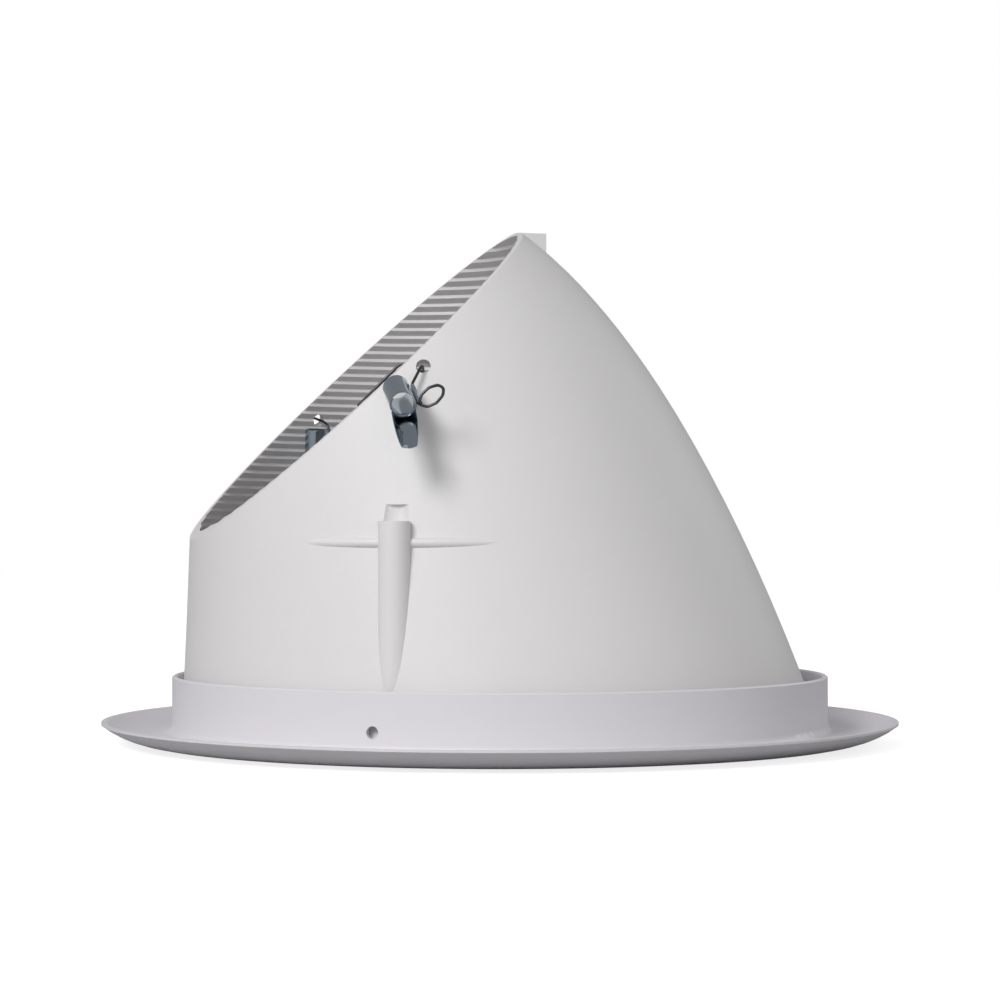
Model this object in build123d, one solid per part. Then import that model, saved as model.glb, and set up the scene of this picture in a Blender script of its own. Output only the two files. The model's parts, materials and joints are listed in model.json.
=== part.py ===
from build123d import *
import math
import os

# Baffle trim for a downlight in a steep ceiling, in millimetres, with +Z up.
# The flange rests on z = 0 and its axis is the Z axis. The hood leans towards -X, and a
# sloping plane cuts it off, so that its round lamp mouth faces -X and up.

# ---- flange and collar
flange_radius = 117.5
flange_height = 6.0
flange_rim = 0.6
land_width = 1.6
rest_radius = 100.0
collar_radius = 97.0
collar_wall = 1.5
collar_top = 19.2
collar_edge = 0.4
collar_fillet = 2.2
ledge_top = 2.5
flange_thickness = 1.9
ledge_lip = 0.4
ledge_round = 1.6
side_hole_radius = 1.7
side_hole_turn = 55.8
side_hole_height = 8.5

# ---- hood
foot_gap = 0.5
hood_height = 148.2
wall = 2.5
mouth_slope = 43.6
lean = 34.0
lean_power = 1.26
taper = 0.66
top_taper = 0.18
rim_round = 0.6
section_count = 10
overrun = 4.0
baffle_pitch = 2.4
baffle_depth = 0.8
baffle_slant = 0.60
plain_foot = 4.0
lug_reach = 13.0
lug_width = 10.0
lug_height = 11.8
lug_drop = 0.2
lug_root = 16.0

# ---- screw bosses, either side
boss_turn = 57.5
boss_radius = 4.3
boss_inset = 6.6
boss_top = 64.0
relief_height = 4.5
bore_depth = 17.5
bore_gap = 0.1
bead_height = 58.3
bead_radius = 1.3
bead_curve = 63.0
bead_half_span = 26.9

# ---- ring screws
shank_radius = 1.5
head_radius = 2.9
head_depth = 1.4
head_recess = 0.1
shank_length = 14.0
tip_length = 1.5
screw_gap = 0.2
drive_width = 0.7
drive_length = 3.4
drive_depth = 0.8

# ---- spring clips
clip_hole_radius = 2.0
wire_radius = 0.4
strip = 0.25
wrap_gap = 0.08
wraps = 1.6
roll_bore = 3.0
knuckle_gap = 0.1
knuckle_sink = 0.18
tongue_length = 11.0
tongue_tilt = 27.0
tongue_back = 1.2
tongue_from = -60.0
tongue_to = 62.0
lip_depth = 1.6
lip_to = -15.0
wire_out = 1.2
eye_long = 3.8
eye_short = 2.2
eye_open = 1.1
eye_first = 225.0
eye_last = 525.0
eye_steps = 8
bend_share = 0.42
bend_most = 2.4

# Turn from -X and height of each clip's hole, and its places (out, along, up) from there.
# near: roll outside the wall and bar inside; far: the same clip the other way round.
near_clip = {
    "turn": 60.0,
    "height": 106.0,
    "roll_start": (4.6, -7.1, -8.2),
    "roll_end": (13.9, -4.8, -16.9),
    "eye_along": (0.20, 0.79, 0.58),
    "eye_across": (0.26, -0.61, 0.75),
    "eye_open": (0.94, 0.0, -0.34),
    "through": [(2.2, -0.3, -0.5), (-4.8, 0.0, 0.0)],
    "bar": [(-4.8, -6.1, 3.2), (-7.8, -18.0, -8.5)],
}
far_clip = {
    "turn": 55.5,
    "height": 98.0,
    "roll_start": (-9.0, -4.1, -1.6),
    "roll_end": (-10.8, -3.5, -14.2),
    "eye_along": (-0.10, 0.99, 0.0),
    "eye_across": (-0.99, -0.10, 0.0),
    "eye_open": (0.0, 0.0, -1.0),
    "through": [(-5.2, 0.1, 0.2), (1.9, 0.0, 0.0)],
    "bar": [(1.7, -6.0, -2.5), (-0.6, -15.5, -12.5)],
}

# ---- worked-out sizes
collar_bore = collar_radius - collar_wall
foot_radius = collar_bore - foot_gap
boss_axis = foot_radius - boss_inset
ledge_inner = boss_axis - boss_radius - ledge_lip
apex_height = ledge_top + hood_height


# ---- the hood's curve
def section_share(z):
    return (z - ledge_top) / hood_height


def section_centre(z):
    return -lean * max(section_share(z), 0) ** lean_power


def section_radius(z):
    share = section_share(z)
    return foot_radius * math.sqrt(1 - taper * share - top_taper * share ** 4)


def section(z, inset=0.0):
    return Plane.XY.offset(z) * Pos(section_centre(z), 0) * Circle(section_radius(z) - inset)


def near_direction(turn):
    """Level unit vector turned from -X towards -Y."""
    angle = math.radians(turn)
    return Vector(-math.cos(angle), -math.sin(angle), 0)


def wall_point(turn, z):
    """Point on the hood's outer face at a height, in a direction from the Z axis."""
    heading = near_direction(turn)
    across = section_centre(z) * heading.X
    reach = across + math.sqrt(section_radius(z) ** 2 - section_centre(z) ** 2 + across ** 2)
    return heading * reach + Vector(0, 0, z)


def clip_plane(clip):
    """Plane at a clip hole: x level along the wall, y up it, z out of it."""
    step = 0.5
    height = clip["height"]
    origin = wall_point(clip["turn"], height)
    radial = (origin - Vector(section_centre(height), 0, height)).normalized()
    level = Vector(-radial.Y, radial.X, 0)

    def along_radial(z):
        return Vector(section_centre(z), 0, z) + radial * section_radius(z)

    rise = (along_radial(height + step) - along_radial(height - step)).normalized()
    outward = level.cross(rise).normalized()
    return Plane(origin=origin, x_dir=level, z_dir=outward)


def mirrored(shape):
    return mirror(shape, about=Plane.XZ)


# ---- reflector shell
def hood_solid():
    step = (apex_height + overrun - ledge_top) / (section_count - 1)
    return loft([section(ledge_top + step * k) for k in range(section_count)])


def hood_cavity():
    """Cone rings, each narrowing upwards and then stepping back out to the wall."""
    sections = [section(ledge_top, wall)]
    z = ledge_top + plain_foot
    while z + baffle_pitch < apex_height + overrun:
        sections.append(section(z, wall))
        sections.append(section(z + baffle_pitch * baffle_slant, wall + baffle_depth))
        z += baffle_pitch
    sections.append(section(apex_height + overrun, wall))
    return loft(sections, ruled=True)


def mouth_plane():
    slope = math.radians(mouth_slope)
    apex_reach = section_centre(apex_height) + section_radius(apex_height)
    return Plane(origin=(apex_reach, 0, apex_height), x_dir=(0, 1, 0),
                 z_dir=(-math.sin(slope), 0, math.cos(slope)))


def above_mouth():
    size = 4 * flange_radius
    return mouth_plane() * Pos(0, 0, size / 2) * Box(size, size, size)


def lip_lug():
    length = lug_reach + lug_root
    return (Pos(lug_reach - length / 2, 0, apex_height - lug_drop - lug_height / 2)
            * Box(length, lug_width, lug_height))


def boss_post(low, high, radius):
    at = near_direction(boss_turn) * boss_axis
    return Pos(at.X, at.Y, (low + high) / 2) * Cylinder(radius, high - low)


def bead():
    """Half-round bead on a tighter curve than the wall, so both its ends sink in."""
    at = wall_point(boss_turn, bead_height)
    axis = Vector(section_centre(bead_height), 0, bead_height)
    radial = (at - axis).normalized()
    centre = axis + radial * (section_radius(bead_height) - bead_curve)
    half_turn = math.degrees(math.asin(bead_half_span / bead_curve))
    heading = math.degrees(math.atan2(radial.Y, radial.X))
    arc = Torus(bead_curve, bead_radius, major_angle=2 * half_turn, align=None)
    return Pos(*centre) * Rot(0, 0, heading - half_turn) * arc


def clip_hole(clip):
    return clip_plane(clip) * Cylinder(clip_hole_radius, 6 * wall)


def is_on_mouth(edge):
    plane = mouth_plane()
    heights = [(edge.position_at(t) - plane.origin).dot(plane.z_dir) for t in (0, 0.3, 0.7, 1)]
    return all(abs(height) < 0.01 for height in heights)


def rounded_hood():
    """Solid hood cut at the mouth, its outer rim rounded before it is hollowed."""
    shape = hood_solid() - above_mouth()
    return fillet([edge for edge in shape.edges() if is_on_mouth(edge)], rim_round)


def reflector_shell():
    shape = rounded_hood() + (lip_lug() - above_mouth()) - hood_cavity()
    post = boss_post(ledge_top, boss_top, boss_radius)
    bore = boss_post(ledge_top, ledge_top + bore_depth, shank_radius + bore_gap)
    relief = boss_post(boss_top, boss_top + relief_height, boss_radius)
    for add in (post, bead()):
        shape = shape + add + mirrored(add)
    for cut in (bore, relief):
        shape = shape - cut - mirrored(cut)
    return shape - clip_hole(near_clip) - mirrored(clip_hole(far_clip))


# ---- trim ring
def ring_profile():
    land = flange_radius - land_width
    under = flange_height - flange_rim
    mid = (rest_radius + flange_radius) / 2 + 1.0
    root = collar_radius + collar_fillet
    dish = ledge_top + 0.4
    with BuildSketch(Plane.XZ) as profile:
        with BuildLine():
            Line((ledge_inner + ledge_round, 0), (rest_radius, 0))
            ThreePointArc((rest_radius, 0), (mid, 1.35), (flange_radius, under))
            Line((flange_radius, under), (flange_radius, flange_height))
            Line((flange_radius, flange_height), (land, flange_height))
            ThreePointArc((land, flange_height), (mid - 0.6, 1.35 + flange_thickness), (root, dish))
            ThreePointArc((root, dish), (collar_radius + 0.65, dish + 0.65),
                          (collar_radius, dish + collar_fillet))
            Line((collar_radius, dish + collar_fillet), (collar_radius, collar_top - collar_edge))
            Line((collar_radius, collar_top - collar_edge), (collar_radius - collar_edge, collar_top))
            Line((collar_radius - collar_edge, collar_top), (collar_bore + collar_edge, collar_top))
            Line((collar_bore + collar_edge, collar_top), (collar_bore, collar_top - collar_edge))
            Line((collar_bore, collar_top - collar_edge), (collar_bore, ledge_top))
            Line((collar_bore, ledge_top), (ledge_inner, ledge_top))
            Line((ledge_inner, ledge_top), (ledge_inner, ledge_round))
            ThreePointArc((ledge_inner, ledge_round),
                          (ledge_inner + 0.29 * ledge_round, 0.29 * ledge_round),
                          (ledge_inner + ledge_round, 0))
        make_face()
    return profile.sketch


def ring_screw_hole():
    at = near_direction(boss_turn) * boss_axis
    wide = head_radius + screw_gap
    narrow = shank_radius + screw_gap
    sink = Pos(at.X, at.Y, head_depth / 2) * Cone(wide, narrow, head_depth)
    return sink + Pos(at.X, at.Y, ledge_top / 2) * Cylinder(narrow, 2 * ledge_top)


def side_hole():
    outward = near_direction(side_hole_turn)
    at = outward * (collar_radius - collar_wall / 2)
    across = Plane(origin=(at.X, at.Y, side_hole_height), z_dir=outward)
    return across * Cylinder(side_hole_radius, 4 * collar_wall)


def trim_ring():
    shape = revolve(ring_profile(), axis=Axis.Z)
    for cut in (ring_screw_hole(), side_hole()):
        shape = shape - cut - mirrored(cut)
    return shape


# ---- ring screw
def ring_screw():
    head = Pos(0, 0, head_depth / 2) * Cone(head_radius, shank_radius, head_depth)
    shank = Pos(0, 0, shank_length / 2) * Cylinder(shank_radius, shank_length)
    tip = Pos(0, 0, shank_length + tip_length / 2) * Cone(shank_radius, 0.4, tip_length)
    screw = head + shank + tip
    for turn in (0, 90):
        screw = screw - Rot(0, 0, turn) * Box(drive_length, drive_width, 2 * drive_depth)
    at = near_direction(boss_turn) * boss_axis
    return Pos(at.X, at.Y, head_recess) * screw


# ---- spring clip
def place(clip, where):
    """World point for (out, along, up) at a clip's hole."""
    out, along, up = where
    return clip_plane(clip).from_local_coords(Vector(along, up, out))


def direction(clip, where):
    return place(clip, where) - place(clip, (0, 0, 0))


def roll_plane(clip):
    """Plane at the roll's lower end: z along the roll, x level along the wall."""
    start, end = place(clip, clip["roll_start"]), place(clip, clip["roll_end"])
    along_roll = (end - start).normalized()
    level = clip_plane(clip).x_dir
    across = (level - along_roll * level.dot(along_roll)).normalized()
    return Plane(origin=end, x_dir=across, z_dir=along_roll)


def roll_length(clip):
    return (place(clip, clip["roll_end"]) - place(clip, clip["roll_start"])).length


def roll_radius():
    return roll_bore + wraps * (strip + wrap_gap) + strip


def knuckle_reach():
    """Distance from the roll's axis to the wire that its outer edge is curled round."""
    return roll_radius() + wire_radius + knuckle_gap + strip - knuckle_sink


def coil_profile():
    """Spiral strip, ending on the side where the knuckle sits."""
    steps = int(wraps * 24)
    inner, outer = [], []
    for k in range(steps + 1):
        share = k / steps
        angle = -2 * math.pi * wraps * (1 - share)
        radius = roll_bore + share * wraps * (strip + wrap_gap)
        inner.append((radius * math.cos(angle), radius * math.sin(angle)))
        outer.append(((radius + strip) * math.cos(angle), (radius + strip) * math.sin(angle)))
    with BuildSketch() as profile:
        with BuildLine():
            Spline(*inner)
            Line(inner[-1], outer[-1])
            Spline(*reversed(outer))
            Line(outer[0], inner[0])
        make_face()
    return profile.sketch


def ring_slice(inner, outer, turn_from, turn_to):
    """Sector of a flat ring, with its turns counted from -y."""
    first, span = turn_from - 90, turn_to - turn_from
    with BuildSketch() as profile:
        with BuildLine():
            low = CenterArc((0, 0), inner, first, span)
            high = CenterArc((0, 0), outer, first, span)
            Line(low @ 0, high @ 0)
            Line(low @ 1, high @ 1)
        make_face()
    return profile.sketch


def tongue():
    """Strip's free end bent out from the roll's end, with a corner folded in."""
    outer = roll_radius()
    shell = extrude(ring_slice(outer - strip, outer, tongue_from, tongue_to), tongue_length + tongue_back)
    lip = extrude(ring_slice(outer - lip_depth, outer, tongue_from, lip_to), strip)
    shape = Pos(0, 0, -tongue_back) * shell + Pos(0, 0, tongue_length - strip) * lip
    pivot = Pos(0, -outer, 0)
    return pivot * Rot(tongue_tilt, 0, 0) * pivot.inverse() * shape


def spring(clip):
    """One strip: a spiral roll, a knuckle round the wire and a bent-out tongue."""
    length = roll_length(clip)
    low = Pos(0, 0, -length)
    reach = knuckle_reach()
    hole = wire_radius + knuckle_gap
    knuckle = Pos(reach, 0, 0) * Circle(hole + strip) - Pos(reach, 0, 0) * Circle(hole)
    bore = low * Pos(reach, 0, length / 2) * Cylinder(hole, 3 * length)
    shape = low * extrude(coil_profile(), length) + low * extrude(knuckle, length) + tongue() - bore
    return roll_plane(clip) * shape


def eye_points(clip):
    """Finger eye from the wire's bend, almost a whole turn, opening towards its end."""
    along, across = direction(clip, clip["eye_along"]), direction(clip, clip["eye_across"])
    opening = direction(clip, clip["eye_open"])
    bend = roll_plane(clip).from_local_coords(Vector(knuckle_reach(), 0, wire_out))
    centre = bend + along * eye_long
    points = []
    for k in range(eye_steps):
        share = k / (eye_steps - 1)
        angle = math.radians(eye_first + (eye_last - eye_first) * share)
        point = centre + along * eye_long * math.cos(angle) + across * eye_short * math.sin(angle)
        points.append(point + opening * eye_open * share)
    return points


def hanger_points(clip):
    roll = roll_plane(clip)
    reach = knuckle_reach()
    run_low = roll.from_local_coords(Vector(reach, 0, wire_out))
    run_high = roll.from_local_coords(Vector(reach, 0, -roll_length(clip) - wire_out))
    wall_side = [place(clip, where) for where in clip["through"] + clip["bar"]]
    return [*reversed(eye_points(clip)), run_low, run_high, *wall_side]


def bend_radius(before, corner, after):
    arriving, leaving = corner - before, after - corner
    half_turn = math.radians(arriving.get_angle(leaving)) / 2
    shorter = min(arriving.length, leaving.length)
    return min(bend_most, bend_share * shorter / math.tan(half_turn))


def hanger_wire(clip):
    points = hanger_points(clip)
    radii = [bend_radius(*points[k - 1:k + 2]) for k in range(1, len(points) - 1)]
    path = FilletPolyline(*points, radius=radii)
    section_plane = Plane(origin=path @ 0, z_dir=path % 0)
    return sweep(section_plane * Circle(wire_radius), path=path)


os.makedirs("parts", exist_ok=True)
pieces = {
    "reflector_shell": reflector_shell(),
    "trim_ring": trim_ring(),
    "ring_screw_near": ring_screw(),
    "ring_screw_far": mirrored(ring_screw()),
}
for side, clip in (("near", near_clip), ("far", far_clip)):
    for name, piece in (("hanger_wire", hanger_wire(clip)), ("strip_spring", spring(clip))):
        pieces[f"{side}_{name}"] = mirrored(piece) if side == "far" else piece
for name, piece in pieces.items():
    export_step(piece, f"parts/{name}.step")
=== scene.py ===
import json
import math

import bpy
import numpy as np
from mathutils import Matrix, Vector


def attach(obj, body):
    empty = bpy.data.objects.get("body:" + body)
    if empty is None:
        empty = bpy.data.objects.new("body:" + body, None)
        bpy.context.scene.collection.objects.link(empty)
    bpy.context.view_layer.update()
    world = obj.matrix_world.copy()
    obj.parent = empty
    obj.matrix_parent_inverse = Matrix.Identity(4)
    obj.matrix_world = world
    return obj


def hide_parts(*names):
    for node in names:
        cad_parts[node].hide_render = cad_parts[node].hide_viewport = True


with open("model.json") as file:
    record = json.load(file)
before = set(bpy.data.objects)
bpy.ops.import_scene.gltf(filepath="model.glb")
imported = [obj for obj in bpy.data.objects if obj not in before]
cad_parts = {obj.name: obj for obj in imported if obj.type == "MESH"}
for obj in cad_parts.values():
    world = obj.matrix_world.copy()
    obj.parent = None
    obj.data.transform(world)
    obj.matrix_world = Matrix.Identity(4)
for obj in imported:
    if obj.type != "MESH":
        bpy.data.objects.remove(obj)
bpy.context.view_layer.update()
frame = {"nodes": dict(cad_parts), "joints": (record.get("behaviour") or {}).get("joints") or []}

nodes = frame["nodes"]
joints = {joint["name"]: joint for joint in frame["joints"]}
print("frame loaded:", len(nodes), "pieces")

# sizes below are in metres unless a name says otherwise

def newSocket(group, name, way, kind, value=None):
    socket = group.interface.new_socket(name=name, in_out=way, socket_type=kind)
    if value is not None:
        socket.default_value = value
    return socket


def mouldedSurfaceGroup():
    # object coordinates -> slow cloud of noise mixes two tones; fine noise gives pores and roughness
    group = bpy.data.node_groups.new("MouldedSurface", "ShaderNodeTree")
    newSocket(group, "Tone", "INPUT", "NodeSocketColor", (0.8, 0.8, 0.8, 1))
    newSocket(group, "Shade", "INPUT", "NodeSocketColor", (0.75, 0.75, 0.75, 1))
    newSocket(group, "Cloud Scale", "INPUT", "NodeSocketFloat", 30.0)
    newSocket(group, "Grain Scale", "INPUT", "NodeSocketFloat", 1500.0)
    newSocket(group, "Grain Height", "INPUT", "NodeSocketFloat", 0.1)
    newSocket(group, "Rough Low", "INPUT", "NodeSocketFloat", 0.4)
    newSocket(group, "Rough High", "INPUT", "NodeSocketFloat", 0.5)
    newSocket(group, "Color", "OUTPUT", "NodeSocketColor")
    newSocket(group, "Roughness", "OUTPUT", "NodeSocketFloat")
    newSocket(group, "Normal", "OUTPUT", "NodeSocketVector")
    add, link = group.nodes.new, group.links.new
    given = add("NodeGroupInput")
    made = add("NodeGroupOutput")
    place = add("ShaderNodeTexCoord")
    cloud = add("ShaderNodeTexNoise")
    cloud.inputs["Detail"].default_value = 3.0
    grain = add("ShaderNodeTexNoise")
    grain.inputs["Detail"].default_value = 4.0
    tones = add("ShaderNodeMix")
    tones.data_type = "RGBA"
    rough = add("ShaderNodeMapRange")
    bump = add("ShaderNodeBump")
    bump.inputs["Distance"].default_value = 0.0002
    link(place.outputs["Object"], cloud.inputs["Vector"])
    link(place.outputs["Object"], grain.inputs["Vector"])
    link(given.outputs["Cloud Scale"], cloud.inputs["Scale"])
    link(given.outputs["Grain Scale"], grain.inputs["Scale"])
    link(cloud.outputs["Fac"], tones.inputs["Factor"])
    link(given.outputs["Tone"], tones.inputs["A"])
    link(given.outputs["Shade"], tones.inputs["B"])
    link(grain.outputs["Fac"], rough.inputs["Value"])
    link(given.outputs["Rough Low"], rough.inputs["To Min"])
    link(given.outputs["Rough High"], rough.inputs["To Max"])
    link(given.outputs["Grain Height"], bump.inputs["Strength"])
    link(grain.outputs["Fac"], bump.inputs["Height"])
    link(tones.outputs["Result"], made.inputs["Color"])
    link(rough.outputs["Result"], made.inputs["Roughness"])
    link(bump.outputs["Normal"], made.inputs["Normal"])
    return group


def drawnMetalGroup():
    # UV across the piece is stretched, so noise becomes fine lines along it
    # the lines vary tone and roughness
    group = bpy.data.node_groups.new("DrawnMetal", "ShaderNodeTree")
    newSocket(group, "Bright", "INPUT", "NodeSocketColor", (0.7, 0.7, 0.7, 1))
    newSocket(group, "Dull", "INPUT", "NodeSocketColor", (0.5, 0.5, 0.5, 1))
    newSocket(group, "Line Scale", "INPUT", "NodeSocketFloat", 60.0)
    newSocket(group, "Line Height", "INPUT", "NodeSocketFloat", 0.1)
    newSocket(group, "Rough Low", "INPUT", "NodeSocketFloat", 0.15)
    newSocket(group, "Rough High", "INPUT", "NodeSocketFloat", 0.35)
    newSocket(group, "Color", "OUTPUT", "NodeSocketColor")
    newSocket(group, "Roughness", "OUTPUT", "NodeSocketFloat")
    newSocket(group, "Normal", "OUTPUT", "NodeSocketVector")
    add, link = group.nodes.new, group.links.new
    given = add("NodeGroupInput")
    made = add("NodeGroupOutput")
    place = add("ShaderNodeTexCoord")
    stretch = add("ShaderNodeMapping")
    stretch.inputs["Scale"].default_value = (0.06, 1.0, 1.0)
    lines = add("ShaderNodeTexNoise")
    lines.inputs["Detail"].default_value = 5.0
    tones = add("ShaderNodeMix")
    tones.data_type = "RGBA"
    rough = add("ShaderNodeMapRange")
    bump = add("ShaderNodeBump")
    bump.inputs["Distance"].default_value = 0.00005
    link(place.outputs["UV"], stretch.inputs["Vector"])
    link(stretch.outputs["Vector"], lines.inputs["Vector"])
    link(given.outputs["Line Scale"], lines.inputs["Scale"])
    link(lines.outputs["Fac"], tones.inputs["Factor"])
    link(given.outputs["Bright"], tones.inputs["A"])
    link(given.outputs["Dull"], tones.inputs["B"])
    link(lines.outputs["Fac"], rough.inputs["Value"])
    link(given.outputs["Rough Low"], rough.inputs["To Min"])
    link(given.outputs["Rough High"], rough.inputs["To Max"])
    link(given.outputs["Line Height"], bump.inputs["Strength"])
    link(lines.outputs["Fac"], bump.inputs["Height"])
    link(tones.outputs["Result"], made.inputs["Color"])
    link(rough.outputs["Result"], made.inputs["Roughness"])
    link(bump.outputs["Normal"], made.inputs["Normal"])
    return group


mouldedSurface = mouldedSurfaceGroup()
drawnMetal = drawnMetalGroup()


def finishFrom(name, group, values, fixed):
    # one material: the group's colours, roughness and normal feed its own Principled shader
    material = bpy.data.materials.new(name)
    material.use_nodes = True
    tree = material.node_tree
    shader = tree.nodes["Principled BSDF"]
    surface = tree.nodes.new("ShaderNodeGroup")
    surface.node_tree = group
    for socket, value in values.items():
        surface.inputs[socket].default_value = value
    for socket, value in fixed.items():
        shader.inputs[socket].default_value = value
    tree.links.new(surface.outputs["Color"], shader.inputs["Base Color"])
    tree.links.new(surface.outputs["Roughness"], shader.inputs["Roughness"])
    tree.links.new(surface.outputs["Normal"], shader.inputs["Normal"])
    return material


hoodPlastic = {
    "Tone": (0.800, 0.785, 0.790, 1), "Shade": (0.770, 0.755, 0.762, 1),
    "Cloud Scale": 22.0, "Grain Scale": 1900.0, "Grain Height": 0.16,
    "Rough Low": 0.42, "Rough High": 0.56,
}
ringPlastic = {
    "Tone": (0.775, 0.755, 0.790, 1), "Shade": (0.750, 0.730, 0.768, 1),
    "Cloud Scale": 18.0, "Grain Scale": 2200.0, "Grain Height": 0.12,
    "Rough Low": 0.36, "Rough High": 0.50,
}
plasticFixed = {"IOR": 1.49, "Subsurface Weight": 0.0}

hoodMaterial = finishFrom("hoodWhite", mouldedSurface, hoodPlastic, plasticFixed)
ringMaterial = finishFrom("ringWhite", mouldedSurface, ringPlastic, plasticFixed)


def dress(node, material):
    mesh = nodes[node].data
    mesh.materials.clear()
    mesh.materials.append(material)


dress("reflector_shell", hoodMaterial)
dress("trim_ring", ringMaterial)
print("white mouldings dressed")

zincStrip = {
    "Bright": (0.46, 0.53, 0.59, 1), "Dull": (0.24, 0.29, 0.34, 1), "Line Scale": 90.0,
    "Line Height": 0.15, "Rough Low": 0.05, "Rough High": 0.15,
}
darkWire = {
    "Bright": (0.12, 0.12, 0.13, 1), "Dull": (0.05, 0.05, 0.06, 1), "Line Scale": 45.0,
    "Line Height": 0.2, "Rough Low": 0.22, "Rough High": 0.42,
}
zincScrew = {
    "Tone": (0.62, 0.63, 0.64, 1), "Shade": (0.46, 0.47, 0.48, 1), "Cloud Scale": 400.0,
    "Grain Scale": 5000.0, "Grain Height": 0.1, "Rough Low": 0.22, "Rough High": 0.4,
}
stripMaterial = finishFrom("zincStrip", drawnMetal, zincStrip, {"Metallic": 1.0})
wireMaterial = finishFrom("darkWire", drawnMetal, darkWire, {"Metallic": 1.0})
screwMaterial = finishFrom("zincScrew", mouldedSurface, zincScrew, {"Metallic": 1.0})
for side in ("near", "far"):
    dress("ring_screw_" + side, screwMaterial)
print("metals ready")

# a side's directions come from its two joints: out of the wall, level along it, up it, and along the roll
# the far clip is worked out in the near one's sense and then mirrored across the XZ plane

mirrorY = np.array([1.0, -1.0, 1.0])


def unit(vector):
    # vector divided by its own length
    return vector / np.linalg.norm(vector)


def clipSense(side):
    # hinge axes are stored by the right-hand rule, so mirroring also turns them round
    swing, turn = joints[side + "_hanger_swing"], joints[side + "_spring_turn"]
    flip = -mirrorY if side == "far" else np.ones(3)
    place = mirrorY if side == "far" else np.ones(3)
    outward = unit(np.array(swing["axis"]) * flip)
    level = unit(np.array([-outward[1], outward[0], 0.0]))
    along = unit(np.array(turn["axis"]) * flip)
    sideways = unit(level - along * (level @ along))
    return {
        "hole": np.array(swing["pos_m"]) * place, "pin": np.array(turn["pos_m"]) * place,
        "out": outward, "level": level, "up": np.cross(outward, level),
        "along": along, "across": sideways, "over": np.cross(along, sideways), "mirror": side == "far",
    }


stripSpring = {
    "bore": 0.0030, "strip": 0.00025, "wrapGap": 0.00008, "wraps": 1.6, "wireRadius": 0.0004,
    "knuckleGap": 0.0001, "knuckleSink": 0.00018, "tongueLength": 0.0110, "tongueBack": 0.0012,
    "tongueTilt": 27.0, "tongueFrom": -60.0, "tongueTo": 62.0, "tongueTaper": 0.45, "taperPower": 2.6,
    "lipDepth": 0.0015, "lipTo": -15.0, "lipStart": 14.0, "lipFade": 12.0, "lipFirst": 0.12,
    "spiralShare": 0.985, "spiralStart": 0.06, "curlFrom": 205.0, "curlTo": 505.0,
    "width": {"near": 0.01294, "far": 0.01274},
    "stepsRound": 150, "stepsAlong": 36, "stepsCurl": 34, "stepsAcross": 48, "stepsDown": 40, "stepsLip": 7,
    "edgeShare": 0.3, "uvScale": 100.0, "tongueUv": (1.6, 0.8),
}


def rollRadius(v):
    # bore, plus one strip and gap for each wrap, plus the strip
    return v["bore"] + v["wraps"] * (v["strip"] + v["wrapGap"]) + v["strip"]


def knuckleReach(v):
    # outside of the roll, plus the wire, its gap and the strip round it, less how far it sinks in
    return rollRadius(v) + v["wireRadius"] + v["knuckleGap"] + v["strip"] - v["knuckleSink"]


def gridFaces(rows, columns, start=0):
    # quads between neighbouring rows and columns of a grid
    r, c = np.meshgrid(np.arange(rows - 1), np.arange(columns - 1), indexing="ij")
    corner = (r * columns + c).ravel() + start
    return np.stack([corner, corner + 1, corner + columns + 1, corner + columns], axis=1)


def putMesh(name, points, faces, uvs):
    mesh = bpy.data.meshes.new(name)
    mesh.from_pydata(points.tolist(), [], faces)
    layer = mesh.uv_layers.new(name="UVMap")
    corners = np.empty(len(mesh.loops), dtype=np.int32)
    mesh.loops.foreach_get("vertex_index", corners)
    layer.data.foreach_set("uv", uvs[corners].astype(np.float32).ravel())
    mesh.polygons.foreach_set("use_smooth", np.ones(len(mesh.polygons), dtype=bool))
    mesh.update()
    piece = bpy.data.objects.new(name, mesh)
    bpy.context.scene.collection.objects.link(piece)
    return piece


def toWorld(sense, local, origin):
    # local columns are (across, over, along) from the origin
    world = origin + local[:, :1] * sense["across"] + local[:, 1:2] * sense["over"]
    world = world + local[:, 2:] * sense["along"]
    return world * mirrorY if sense["mirror"] else world


def rollSheet(v, width):
    # middle of the strip: spiral radius grows evenly with its angle, then a curl round the wire
    turns = np.linspace(0.0, 1.0, v["stepsRound"])
    angle = -2 * math.pi * v["wraps"] * (1 - turns) * v["spiralShare"] - v["spiralStart"]
    radius = v["bore"] + v["strip"] / 2 + turns * v["wraps"] * (v["strip"] + v["wrapGap"])
    spiral = np.stack([radius * np.cos(angle), radius * np.sin(angle)], axis=1)
    curl = np.linspace(math.radians(v["curlFrom"]), math.radians(v["curlTo"]), v["stepsCurl"])
    curlRadius = v["wireRadius"] + v["knuckleGap"] + v["strip"] / 2
    knuckle = np.stack([knuckleReach(v) + curlRadius * np.cos(curl), curlRadius * np.sin(curl)], axis=1)
    outline = np.concatenate([spiral, knuckle])
    length = np.concatenate([[0.0], np.cumsum(np.linalg.norm(np.diff(outline, axis=0), axis=1))])
    depth = np.linspace(-width, 0.0, v["stepsAlong"])
    points = np.zeros((len(outline), len(depth), 3))
    points[:, :, :2] = outline[:, None, :]
    points[:, :, 2] = depth[None, :]
    uvs = np.stack(np.broadcast_arrays(length[:, None], depth[None, :]), axis=2)
    uvs = uvs * v["uvScale"]
    return points.reshape(-1, 3), gridFaces(len(outline), len(depth)), uvs.reshape(-1, 2)


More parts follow.
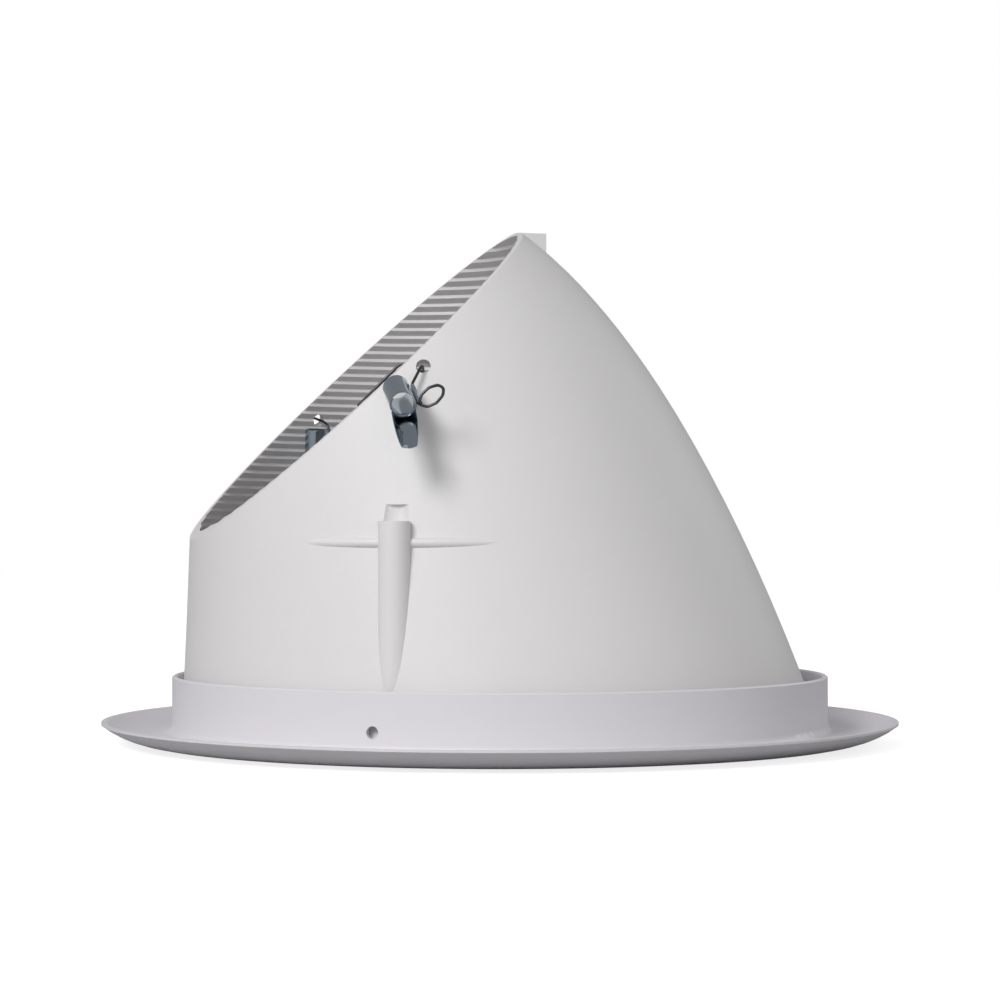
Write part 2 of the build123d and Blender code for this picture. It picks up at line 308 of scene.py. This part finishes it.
def tongueSheet(v):
    # sector of a cylinder that narrows towards its tip, tilted about the roll's rim
    # its last rows fold in as a lip, by a share of the radius that fades round the tip
    turns = np.linspace(0.0, 1.0, v["stepsAcross"])
    runs = np.linspace(0.0, 1.0, v["stepsDown"])
    middle = (v["tongueFrom"] + v["tongueTo"]) / 2
    half = (v["tongueTo"] - v["tongueFrom"]) / 2 * (1 - v["tongueTaper"] * runs ** v["taperPower"])
    angle = np.radians(middle - 90 + half[:, None] * (2 * turns[None, :] - 1))
    radius = rollRadius(v) - v["strip"] / 2
    along = -v["tongueBack"] + runs * (v["tongueLength"] + v["tongueBack"] - v["strip"])
    shell = np.stack([radius * np.cos(angle), radius * np.sin(angle),
                      np.broadcast_to(along[:, None], angle.shape)], axis=2)
    inward = np.linspace(v["lipFirst"], 1.0, v["stepsLip"])[:, None]
    tipAngle = angle[-1:, :]
    tipTurn = np.degrees(tipAngle) + 90
    lipShare = np.clip((v["lipTo"] + v["lipStart"] - tipTurn) / v["lipFade"], 0.0, 1.0)
    lipRadius = radius - v["lipDepth"] * inward * lipShare
    lipRise = v["strip"] / 2 * np.sin(inward * math.pi / 2)
    lip = np.stack([lipRadius * np.cos(tipAngle), lipRadius * np.sin(tipAngle),
                    np.broadcast_to(along[-1] + lipRise, lipRadius.shape)], axis=2)
    sheet = np.concatenate([shell, lip])
    tilt = math.radians(v["tongueTilt"])
    down = sheet[:, :, 1] + rollRadius(v)
    tilted = sheet.copy()
    tilted[:, :, 1] = down * math.cos(tilt) - sheet[:, :, 2] * math.sin(tilt) - rollRadius(v)
    tilted[:, :, 2] = down * math.sin(tilt) + sheet[:, :, 2] * math.cos(tilt)
    rows, columns = sheet.shape[:2]
    uvDown, uvAcross = np.linspace(0, v["tongueUv"][0], rows), np.linspace(0, v["tongueUv"][1], columns)
    uvs = np.stack(np.meshgrid(uvDown, uvAcross, indexing="ij"), axis=2)
    return tilted.reshape(-1, 3), gridFaces(rows, columns), uvs.reshape(-1, 2)


def makeStripSpring(side, v):
    sense = clipSense(side)
    origin = sense["pin"] - sense["across"] * knuckleReach(v)
    rollPoints, rollFaces, rollUvs = rollSheet(v, v["width"][side])
    tonguePoints, tongueFaces, tongueUvs = tongueSheet(v)
    points = np.concatenate([rollPoints, tonguePoints])
    faces = np.concatenate([rollFaces, tongueFaces + len(rollPoints)])
    if sense["mirror"]:
        faces = faces[:, ::-1]
    piece = putMesh(side + "StripSpring", toWorld(sense, points, origin), faces.tolist(),
                    np.concatenate([rollUvs, tongueUvs]))
    wall = piece.modifiers.new("wall", "SOLIDIFY")
    wall.thickness = v["strip"]
    wall.offset = 0.0
    edge = piece.modifiers.new("edge", "BEVEL")
    edge.width = v["strip"] * v["edgeShare"]
    edge.segments = 2
    edge.limit_method = "ANGLE"
    piece.data.materials.append(stripMaterial)
    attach(piece, side + "_spring")
    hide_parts(side + "_strip_spring")


hangerWire = {
    "radius": 0.0004, "wireOut": 0.0012, "eyeLong": 0.0038, "eyeShort": 0.0022, "eyeOpen": 0.0011,
    "eyeFirst": 225.0, "eyeLast": 525.0, "eyeSteps": 8, "bendShare": 0.42, "bendMost": 0.0024,
    "stepsRound": 16, "stepsBend": 10, "edgeShare": 0.2, "edgeAngle": 60.0,
}
# (out, level, up) from the hole, in metres for places and as plain directions for the eye
hangerRoutes = {
    "near": {
        "eyeAlong": (0.20, 0.79, 0.58), "eyeAcross": (0.26, -0.61, 0.75), "eyeOpenWay": (0.94, 0.0, -0.34),
        "wallSide": [(0.0022, -0.0003, -0.0005), (-0.0048, 0.0, 0.0), (-0.0048, -0.0061, 0.0032),
                     (-0.0078, -0.0180, -0.0085)],
    },
    "far": {
        "eyeAlong": (-0.10, 0.99, 0.0), "eyeAcross": (-0.99, -0.10, 0.0), "eyeOpenWay": (0.0, 0.0, -1.0),
        "wallSide": [(-0.0052, 0.0001, 0.0002), (0.0019, 0.0, 0.0), (0.0017, -0.0060, -0.0025),
                     (-0.0006, -0.0155, -0.0125)],
    },
}


def hangerPoints(side, v, route, spring):
    # eye: an ellipse about a centre one half-length from the bend, lifting evenly towards its end
    sense = clipSense(side)
    toward = np.array([sense["out"], sense["level"], sense["up"]])
    along, across = np.array(route["eyeAlong"]) @ toward, np.array(route["eyeAcross"]) @ toward
    opening = np.array(route["eyeOpenWay"]) @ toward
    low = sense["pin"] + sense["along"] * v["wireOut"]
    high = sense["pin"] - sense["along"] * (spring["width"][side] + v["wireOut"])
    share = np.linspace(0.0, 1.0, v["eyeSteps"])[:, None]
    angle = np.radians(v["eyeFirst"] + (v["eyeLast"] - v["eyeFirst"]) * share)
    eye = low + along * v["eyeLong"] + along * v["eyeLong"] * np.cos(angle)
    eye = eye + across * v["eyeShort"] * np.sin(angle) + opening * v["eyeOpen"] * share
    wallSide = sense["hole"] + np.array(route["wallSide"]) @ toward
    points = np.concatenate([eye[::-1], [low], [high], wallSide])
    return points * mirrorY if sense["mirror"] else points


def bentPath(points, v):
    # straight runs joined by parabolas, which touch each run at the place an arc of the bend's radius would
    before, corner, after = points[:-2], points[1:-1], points[2:]
    arriving, leaving = corner - before, after - corner
    arriveLength = np.linalg.norm(arriving, axis=1, keepdims=True)
    leaveLength = np.linalg.norm(leaving, axis=1, keepdims=True)
    turn = np.sum(arriving * leaving, axis=1, keepdims=True) / (arriveLength * leaveLength)
    halfTurn = np.arccos(np.clip(turn, -1, 1)) / 2
    shorter = np.minimum(arriveLength, leaveLength)
    back = np.minimum(v["bendMost"] * np.tan(halfTurn), v["bendShare"] * shorter)
    start, end = corner - arriving / arriveLength * back, corner + leaving / leaveLength * back
    t = np.linspace(0.0, 1.0, v["stepsBend"])[None, :, None]
    bends = (1 - t) ** 2 * start[:, None] + 2 * t * (1 - t) * corner[:, None] + t ** 2 * end[:, None]
    return np.concatenate([points[:1], bends.reshape(-1, 3), points[-1:]])


def tube(path, v):
    # circle carried along the path; each ring's frame is the last one turned by the least angle
    tangent = np.gradient(path, axis=0)
    tangent = tangent / np.linalg.norm(tangent, axis=1, keepdims=True)
    normal = np.zeros_like(path)
    normal[0] = unit(np.cross(tangent[0], [0.3, 0.5, 0.8]))
    for k in range(1, len(path)):
        normal[k] = unit(normal[k - 1] - tangent[k] * (normal[k - 1] @ tangent[k]))
    binormal = np.cross(tangent, normal)
    length = np.concatenate([[0.0], np.cumsum(np.linalg.norm(np.diff(path, axis=0), axis=1))])
    angle = np.linspace(0.0, 2 * math.pi, v["stepsRound"], endpoint=False)
    ring = np.cos(angle)[None, :, None] * normal[:, None] + np.sin(angle)[None, :, None] * binormal[:, None]
    points = path[:, None] + ring * v["radius"]
    rows, columns = len(path), v["stepsRound"]
    r, c = np.meshgrid(np.arange(rows - 1), np.arange(columns), indexing="ij")
    nextC = (c + 1) % columns
    quads = np.stack([r * columns + c, r * columns + nextC, (r + 1) * columns + nextC,
                      (r + 1) * columns + c], axis=2).reshape(-1, 4).tolist()
    first = list(range(columns))[::-1]
    last = list(range((rows - 1) * columns, rows * columns))
    uvs = np.stack(np.broadcast_arrays(length[:, None] * 100, angle[None, :] * 0.05), axis=2)
    return points.reshape(-1, 3), quads + [first, last], uvs.reshape(-1, 2)


def makeHangerWire(side, v, route, spring):
    points, faces, uvs = tube(bentPath(hangerPoints(side, v, route, spring), v), v)
    piece = putMesh(side + "HangerWire", points, faces, uvs)
    edge = piece.modifiers.new("edge", "BEVEL")
    edge.width = v["radius"] * v["edgeShare"]
    edge.segments = 2
    edge.limit_method = "ANGLE"
    edge.angle_limit = math.radians(v["edgeAngle"])
    piece.data.materials.append(wireMaterial)
    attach(piece, side + "_hanger")
    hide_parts(side + "_hanger_wire")


for side in ("near", "far"):
    makeStripSpring(side, stripSpring)
    makeHangerWire(side, hangerWire, hangerRoutes[side], stripSpring)
print("clips made")

stageValues = {
    "floorHalf": 4.0, "floorDrop": 0.0005, "floorTone": (0.55, 0.55, 0.55, 1),
    "sky": (1.0, 1.0, 1.0, 1), "skySeen": 1.0, "skyLight": 0.34,
    "floorGlow": 0.80,
}
lamps = {  # place, size, watts
    "keyLeft": ((-1.1, -1.2, 1.1), 0.7, 20.8),
    "fillFront": ((0.4, -1.7, 0.5), 1.2, 1.5),
    "backRight": ((1.3, 0.7, 0.6), 0.7, 2.2),
}
cameraValues = {
    "place": (-0.1814, -0.7277, 0.0586), "aim": (0.0, 0.0, 0.071), "lens": 90.4,
    "sensor": 36.0,
}


def makeFloor(values):
    # square grid of four corners, just under the object
    half, z = values["floorHalf"], -values["floorDrop"]
    corners = [(-half, -half, z), (half, -half, z), (half, half, z), (-half, half, z)]
    mesh = bpy.data.meshes.new("floor")
    mesh.from_pydata(corners, [], [(0, 1, 2, 3)])
    floor = bpy.data.objects.new("floor", mesh)
    bpy.context.scene.collection.objects.link(floor)
    material = bpy.data.materials.new("paleFloor")
    material.use_nodes = True
    shader = material.node_tree.nodes["Principled BSDF"]
    shader.inputs["Base Color"].default_value = values["floorTone"]
    shader.inputs["Roughness"].default_value = 0.9
    shader.inputs["Emission Color"].default_value = (1, 1, 1, 1)
    rays = material.node_tree.nodes.new("ShaderNodeLightPath")
    glow = material.node_tree.nodes.new("ShaderNodeMath")
    glow.operation = "MULTIPLY"
    glow.inputs[1].default_value = values["floorGlow"]
    material.node_tree.links.new(rays.outputs["Is Camera Ray"], glow.inputs[0])
    material.node_tree.links.new(glow.outputs[0], shader.inputs["Emission Strength"])
    mesh.materials.append(material)


def makeSky(values):
    world = bpy.data.worlds.new("studio")
    world.use_nodes = True
    sky = world.node_tree.nodes["Background"]
    sky.inputs["Color"].default_value = values["sky"]
    rays = world.node_tree.nodes.new("ShaderNodeLightPath")
    strength = world.node_tree.nodes.new("ShaderNodeMapRange")
    strength.inputs["To Min"].default_value = values["skyLight"]
    strength.inputs["To Max"].default_value = values["skySeen"]
    world.node_tree.links.new(rays.outputs["Is Camera Ray"], strength.inputs["Value"])
    world.node_tree.links.new(strength.outputs["Result"], sky.inputs["Strength"])
    bpy.context.scene.world = world


def aimed(item, target):
    item.rotation_mode = "QUATERNION"
    item.rotation_quaternion = (Vector(target) - item.location).to_track_quat("-Z", "Y")


def makeLamps(values, target):
    for name, (place, size, watts) in values.items():
        light = bpy.data.lights.new(name, "AREA")
        light.size = size
        light.energy = watts
        lamp = bpy.data.objects.new(name, light)
        bpy.context.scene.collection.objects.link(lamp)
        lamp.location = place
        aimed(lamp, target)


def makeCamera(values):
    lens = bpy.data.cameras.new("camera")
    lens.sensor_width = values["sensor"]
    lens.lens = values["lens"]
    lens.clip_start = 0.01
    camera = bpy.data.objects.new("camera", lens)
    bpy.context.scene.collection.objects.link(camera)
    camera.location = values["place"]
    aimed(camera, values["aim"])
    bpy.context.scene.camera = camera


makeFloor(stageValues)
makeSky(stageValues)
makeLamps(lamps, cameraValues["aim"])
makeCamera(cameraValues)
bpy.context.scene.view_settings.view_transform = "Standard"
print("stage ready")
